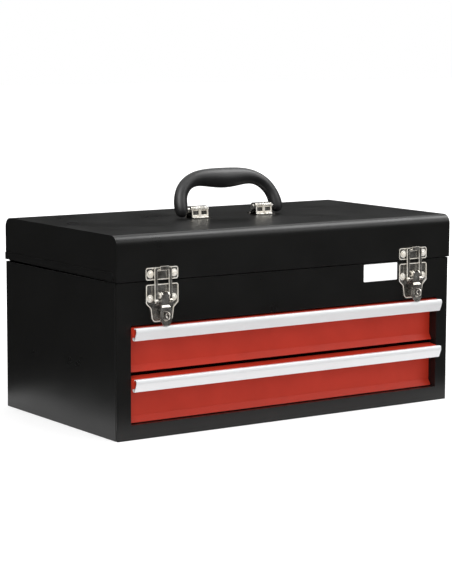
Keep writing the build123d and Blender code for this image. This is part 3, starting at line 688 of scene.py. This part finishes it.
def model_rivet(head_radius, length, boss_radius):
    """Domed rivet with a dimple in a shallow boss, along +Z; its head sits on z = 0."""
    bpy.ops.object.select_all(action="DESELECT")
    bpy.ops.mesh.primitive_cylinder_add(
        vertices=28, radius=boss_radius, depth=0.0002, location=(0, 0, 0.0001)
    )
    rivet = bpy.context.object
    bpy.ops.object.transform_apply(location=True, rotation=True, scale=True)
    pick_faces(rivet, lambda centre, normal: normal.z > 0.9)
    bpy.ops.mesh.inset(thickness=0.0005, depth=0.0003)
    bpy.ops.mesh.inset(thickness=max(0.00005, boss_radius - 0.0005 - head_radius), depth=-0.0001)
    for inward, rise in RIVET_RINGS:
        bpy.ops.mesh.inset(thickness=head_radius * inward, depth=RIVET_HEAD_HEIGHT * rise)
    bpy.ops.object.mode_set(mode="OBJECT")
    pick_faces(rivet, lambda centre, normal: normal.z < -0.9)
    bpy.ops.mesh.inset(thickness=boss_radius - RIVET_SHANK_RADIUS)
    bpy.ops.mesh.extrude_region_move(TRANSFORM_OT_translate={"value": (0, 0, -length)})
    bpy.ops.object.mode_set(mode="OBJECT")
    smooth(rivet, 50)
    return rivet


def set_rivets(node, axis, boss_radius):
    """Replaces the rivets of a node; axis 1 heads face the front, axis 2 heads face up."""
    boxes = loose_boxes(node)
    low, high = boxes[0]
    across = 0 if axis == 1 else 1
    head_radius = (high[across] - low[across]) / 2
    length = high[axis] - low[axis] - RIVET_HEAD_HEIGHT
    pattern = model_rivet(head_radius, length, boss_radius)
    turn = Matrix.Rotation(math.radians(90), 4, "X") if axis == 1 else Matrix.Identity(4)
    rivets = []
    for low, high in boxes:
        place = (low + high) / 2
        place[axis] = low[axis] + RIVET_HEAD_HEIGHT if axis == 1 else high[axis] - RIVET_HEAD_HEIGHT
        rivet = bpy.data.objects.new(f"{node}_head", pattern.data.copy())
        bpy.context.scene.collection.objects.link(rivet)
        rivet.data.transform(Matrix.Translation(place) @ turn)
        rivets.append(rivet)
    bpy.data.objects.remove(pattern)
    take(rivets[0])
    for rivet in rivets:
        rivet.select_set(True)
    bpy.ops.object.join()
    joined = bpy.context.object
    joined.name = f"{node}_domed"
    for material in plating():
        joined.data.materials.append(material)
    # the faces of each head turned along its axis get a painted highlight
    brighten(joined, lambda centre, normal: abs(normal[axis]) > 0.75)
    return stand_for(joined, node)


# ---- pieces ------------------------------------------------------------------------------------
class CHEST_OT_case(bpy.types.Operator):
    """Finish the case: wrap, front panel, floors and slide uprights"""

    bl_idname = "tool_chest.case"
    bl_label = "Case"

    def execute(self, context):
        rounding = context.scene.tool_chest.edge_rounding
        for node in ("case_wrap", "front_panel", "bottom_pan", "compartment_floor"):
            finished_copy(node, rounding, case_paint())
        for side in SIDES:
            keep_node(f"slide_upright_{side}", case_paint()[0])
        return {"FINISHED"}


class CHEST_OT_lid(bpy.types.Operator):
    """Finish the lid: bent shell and stepped ends"""

    bl_idname = "tool_chest.lid"
    bl_label = "Lid"

    def execute(self, context):
        rounding = context.scene.tool_chest.edge_rounding
        for node in ("lid_shell", "lid_end_left", "lid_end_right"):
            finished_copy(node, 1.6 * rounding, case_paint())
        return {"FINISHED"}


class CHEST_OT_hinge(bpy.types.Operator):
    """Finish the piano hinge"""

    bl_idname = "tool_chest.hinge"
    bl_label = "Hinge"

    def execute(self, context):
        keep_node("hinge_leaf_case", case_paint()[0])
        keep_node("hinge_leaf_lid", case_paint()[0])
        keep_node("hinge_pin", zinc())
        return {"FINISHED"}


class CHEST_OT_drawers(bpy.types.Operator):
    """Finish the red drawer fronts and trays"""

    bl_idname = "tool_chest.drawers"
    bl_label = "Drawers"

    def execute(self, context):
        rounding = context.scene.tool_chest.edge_rounding
        for level in LEVELS:
            finished_copy(f"drawer_front_{level}", rounding, drawer_paint())
            finished_copy(f"drawer_tray_{level}", rounding * 0.8, drawer_paint())
        return {"FINISHED"}


class CHEST_OT_pulls(bpy.types.Operator):
    """Finish the aluminium drawer pulls"""

    bl_idname = "tool_chest.pulls"
    bl_label = "Pulls"

    def execute(self, context):
        for level in LEVELS:
            finished_copy(f"drawer_pull_{level}", context.scene.tool_chest.edge_rounding, anodised())
        return {"FINISHED"}


class CHEST_OT_slides(bpy.types.Operator):
    """Finish the ball slides"""

    bl_idname = "tool_chest.slides"
    bl_label = "Slides"

    def execute(self, context):
        for level in LEVELS:
            for side in SIDES:
                keep_node(f"slide_outer_{level}_{side}", zinc())
                keep_node(f"slide_inner_{level}_{side}", zinc())
            keep_node(f"ball_cages_{level}", zinc())
            keep_node(f"slide_balls_{level}", ball_steel())
        return {"FINISHED"}


class CHEST_OT_handle(bpy.types.Operator):
    """Finish the moulded handle, its pins, brackets and rivets"""

    bl_idname = "tool_chest.handle"
    bl_label = "Handle"

    def execute(self, context):
        chest = context.scene.tool_chest
        keep_node("handle_grip", moulded_plastic("black moulded plastic", chest.grip_colour, 0.38))
        for side in SIDES:
            finished_copy(f"handle_bracket_{side}", HARDWARE_ROUNDING, plating(), press_panels)
            keep_node(f"handle_pin_{side}", plating()[0])
        set_rivets("handle_bracket_rivets", 2, BRACKET_BOSS_RADIUS)
        return {"FINISHED"}


class CHEST_OT_latches(bpy.types.Operator):
    """Finish the plated draw latches"""

    bl_idname = "tool_chest.latches"
    bl_label = "Latches"

    def execute(self, context):
        for side in SIDES:
            finished_copy(f"latch_keeper_{side}", HARDWARE_ROUNDING, plating(), press_keeper)
            finished_copy(f"latch_base_{side}", HARDWARE_ROUNDING, plating(), brighten_base)
            finished_copy(f"latch_lever_{side}", 0.0004, plating(), brighten_lever)
            finished_copy(f"latch_loop_{side}", HARDWARE_ROUNDING, plating(), brighten_loop)
            finished_copy(f"latch_staple_{side}", HARDWARE_ROUNDING, plating())
            finished_copy(f"latch_lever_pin_{side}", HARDWARE_ROUNDING, plating())
            finished_copy(f"latch_loop_pin_{side}", 0.0002, plating())
        set_rivets("latch_keeper_rivets", 1, LATCH_BOSS_RADIUS)
        set_rivets("latch_base_rivets", 1, LATCH_BOSS_RADIUS)
        return {"FINISHED"}


class CHEST_OT_label(bpy.types.Operator):
    """Add the blank plate on the front panel"""

    bl_idname = "tool_chest.label"
    bl_label = "Blank label"

    def execute(self, context):
        chest = context.scene.tool_chest
        across, up = chest.label_place
        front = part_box("front_panel")[0].y
        bpy.ops.object.select_all(action="DESELECT")
        bpy.ops.mesh.primitive_cube_add(
            size=1, location=(across, front - LABEL_THICKNESS / 2, up)
        )
        plate = context.object
        plate.name = "blank_label"
        plate.scale = (chest.label_size[0], LABEL_THICKNESS, chest.label_size[1])
        bpy.ops.object.transform_apply(location=True, rotation=True, scale=True)
        bpy.ops.object.mode_set(mode="EDIT")
        bpy.ops.mesh.select_all(action="DESELECT")
        bpy.ops.object.mode_set(mode="OBJECT")
        for edge in plate.data.edges:
            first, second = (plate.data.vertices[i].co for i in edge.vertices)
            edge.select = abs(first.y - second.y) > LABEL_THICKNESS / 2
        bpy.ops.object.mode_set(mode="EDIT")
        bpy.ops.mesh.select_mode(type="EDGE")
        bpy.ops.mesh.bevel(offset=LABEL_CORNER, segments=5)
        bpy.ops.object.mode_set(mode="OBJECT")
        round_edges(plate, LABEL_THICKNESS / 5)
        smooth(plate, CREASE_DEGREES)
        plate.data.materials.append(white_plate())
        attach(plate, "case")
        return {"FINISHED"}


def seen_white(tree, location):
    """1 for rays of the camera, of reflections and through glass, 0 for the light itself."""
    x, y = location
    rays = add_node(tree, "ShaderNodeLightPath", (x, y))
    seen = add_node(tree, "ShaderNodeMath", (x + 180, y), operation="MAXIMUM")
    tree.links.new(rays.outputs["Is Camera Ray"], seen.inputs[0])
    tree.links.new(rays.outputs["Is Glossy Ray"], seen.inputs[1])
    through = add_node(tree, "ShaderNodeMath", (x + 360, y), operation="MAXIMUM")
    tree.links.new(seen.outputs[0], through.inputs[0])
    tree.links.new(rays.outputs["Is Transmission Ray"], through.inputs[1])
    return through.outputs[0]


class CHEST_OT_studio(bpy.types.Operator):
    """Set up the pale floor, the soft lights and the camera"""

    bl_idname = "tool_chest.studio"
    bl_label = "Studio"

    def execute(self, context):
        studio = context.scene.chest_studio
        self.add_floor(studio)
        self.add_light("key light", KEY_LAMP, studio.key_power)
        self.add_light("fill light", FILL_LAMP, studio.fill_power)
        self.add_light("top light", TOP_LAMP, studio.top_power)
        for index, away in enumerate(((0, -1), (1, 0), (0, 1), (-1, 0))):
            self.add_flags(index, Vector((*away, 0)), studio)
        self.light_world(context.scene, studio)
        self.add_camera(context.scene, studio)
        context.scene.view_settings.view_transform = "Standard"
        return {"FINISHED"}

    def add_floor(self, studio):
        """Plain floor under the chest."""
        bpy.ops.object.select_all(action="DESELECT")
        bpy.ops.mesh.primitive_plane_add(size=FLOOR_SIZE, location=(0, 0, -0.0002))
        floor = bpy.context.object
        floor.name = "studio_floor"
        material, tree, shader = new_material("pale studio floor")
        grain = place_group(tree, fine_grain(), (-700, 0), Grain_Size=0.002, Cloud_Size=0.5)
        colour = studio.floor_colour
        dull = [channel * 0.985 for channel in colour]
        tree.links.new(
            blend_colours(tree, grain.outputs["Sheen"], dull, colour, (-400, 260)),
            shader.inputs["Base Color"],
        )
        shader.inputs["Roughness"].default_value = 0.9
        shader.inputs["Specular IOR Level"].default_value = 0.1
        self.whiten(tree, shader)
        floor.data.materials.append(material)

    def whiten(self, tree, shader):
        """Lets the camera and reflections see the floor turn white away from the chest."""
        place = add_node(tree, "ShaderNodeTexCoord", (-1100, -500))
        distance = add_node(tree, "ShaderNodeVectorMath", (-900, -500), operation="LENGTH")
        tree.links.new(place.outputs["Object"], distance.inputs[0])
        glow = add_node(tree, "ShaderNodeMapRange", (-700, -500), interpolation_type="SMOOTHSTEP")
        for key, value in FLOOR_GLOW:
            glow.inputs[key].default_value = value
        tree.links.new(distance.outputs["Value"], glow.inputs["Value"])
        shown = add_node(tree, "ShaderNodeMath", (-500, -500), operation="MULTIPLY")
        tree.links.new(glow.outputs[0], shown.inputs[0])
        tree.links.new(seen_white(tree, (-900, -800)), shown.inputs[1])
        shader.inputs["Emission Color"].default_value = (1, 1, 1, 1)
        tree.links.new(shown.outputs[0], shader.inputs["Emission Strength"])

    def add_light(self, name, lamp_spec, power):
        """Soft square lamp that faces the chest."""
        place, size = lamp_spec
        bpy.ops.object.select_all(action="DESELECT")
        bpy.ops.object.light_add(type="AREA", location=place)
        lamp = bpy.context.object
        lamp.name = name
        lamp.data.size = size
        lamp.data.energy = power
        lamp.rotation_euler = (AIM - Vector(place)).to_track_quat("-Z", "Y").to_euler()

    def add_flags(self, index, away, studio):
        """Black boards on one side, lying down and upright, which only reflections see."""
        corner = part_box("case_wrap")[1]
        near = max(abs(away.x) * corner.x, abs(away.y) * corner.y) + studio.flag_gap
        far = studio.flag_far
        lift = Vector((0, 0, 0.0005 * (index + 1)))
        rise = Vector((0, 0, studio.flag_height / 2))
        boards = (
            ("lying", away * (near + far) / 2 + lift, (2 * far, far - near), Vector((0, 0, 1))),
            ("upright", away * far + rise, (2 * far, studio.flag_height), -away),
        )
        for label, place, size, facing in boards:
            bpy.ops.object.select_all(action="DESELECT")
            bpy.ops.mesh.primitive_plane_add(size=1)
            flag = bpy.context.object
            flag.name = f"{label}_flag_{index}"
            across = Vector((away.y, -away.x, 0))
            turn = Matrix((across, facing.cross(across), facing)).transposed().to_4x4()
            stretch = Matrix.Diagonal((*size, 1, 1))
            flag.data.transform(Matrix.Translation(place) @ turn @ stretch)
            flag.data.materials.append(black_felt())
            flag.visible_camera = False
            flag.visible_diffuse = False
            flag.visible_shadow = False

    def light_world(self, scene, studio):
        """Even light from all round; the camera and reflections see it white."""
        world = bpy.data.worlds.new("studio")
        scene.world = world
        world.use_nodes = True
        tree = world.node_tree
        background = tree.nodes["Background"]
        background.inputs["Color"].default_value = (1, 1, 1, 1)
        strength = add_node(tree, "ShaderNodeMapRange", (-140, 0))
        strength.inputs["To Min"].default_value = studio.ambient
        strength.inputs["To Max"].default_value = 1.0
        tree.links.new(seen_white(tree, (-700, 0)), strength.inputs["Value"])
        tree.links.new(strength.outputs[0], background.inputs["Strength"])

    def add_camera(self, scene, studio):
        """Camera at the fitted place and angle."""
        yaw, pitch, roll = studio.yaw, studio.pitch, studio.roll
        along = math.cos(pitch)
        ahead = Vector((math.sin(yaw) * along, math.cos(yaw) * along, -math.sin(pitch)))
        level = Vector((math.cos(yaw), -math.sin(yaw), 0))
        upright = level.cross(ahead)
        right = math.cos(roll) * level + math.sin(roll) * upright
        up = math.cos(roll) * upright - math.sin(roll) * level
        turn = Matrix((right, up, -ahead)).transposed()
        bpy.ops.object.select_all(action="DESELECT")
        bpy.ops.object.camera_add(location=studio.camera_place, rotation=turn.to_euler())
        camera = bpy.context.object
        camera.name = "studio_camera"
        camera.data.lens = studio.lens
        camera.data.sensor_width = 36
        scene.camera = camera


class CHEST_PT_panel(bpy.types.Panel):
    """The chest's pieces and settings"""

    bl_idname = "CHEST_PT_panel"
    bl_label = "Tool chest"
    bl_space_type = "VIEW_3D"
    bl_region_type = "UI"
    bl_category = "Tool chest"

    def draw(self, context):
        column = self.layout.column(align=True)
        for operator in PIECES:
            column.operator(operator.bl_idname)
        for group in (context.scene.tool_chest, context.scene.chest_studio):
            box = self.layout.box()
            for key in group.bl_rna.properties.keys():
                if key not in ("rna_type", "name"):
                    box.prop(group, key)


PIECES = (
    CHEST_OT_case,
    CHEST_OT_lid,
    CHEST_OT_hinge,
    CHEST_OT_drawers,
    CHEST_OT_pulls,
    CHEST_OT_slides,
    CHEST_OT_handle,
    CHEST_OT_latches,
    CHEST_OT_label,
    CHEST_OT_studio,
)
CLASSES = (ToolChestSettings, StudioSettings, *PIECES, CHEST_PT_panel)


def register():
    """Registers the classes and hangs the settings on the scene."""
    for cls in CLASSES:
        bpy.utils.register_class(cls)
    bpy.types.Scene.tool_chest = bpy.props.PointerProperty(type=ToolChestSettings)
    bpy.types.Scene.chest_studio = bpy.props.PointerProperty(type=StudioSettings)


def unregister():
    """Takes the settings and the classes away again."""
    del bpy.types.Scene.chest_studio
    del bpy.types.Scene.tool_chest
    for cls in reversed(CLASSES):
        bpy.utils.unregister_class(cls)


def main():
    """Builds every piece in order."""
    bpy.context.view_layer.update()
    register()
    bpy.ops.tool_chest.case()
    bpy.ops.tool_chest.lid()
    bpy.ops.tool_chest.hinge()
    bpy.ops.tool_chest.drawers()
    bpy.ops.tool_chest.pulls()
    bpy.ops.tool_chest.slides()
    bpy.ops.tool_chest.handle()
    bpy.ops.tool_chest.latches()
    bpy.ops.tool_chest.label()
    bpy.ops.tool_chest.studio()


if __name__ == "__main__":
    main()
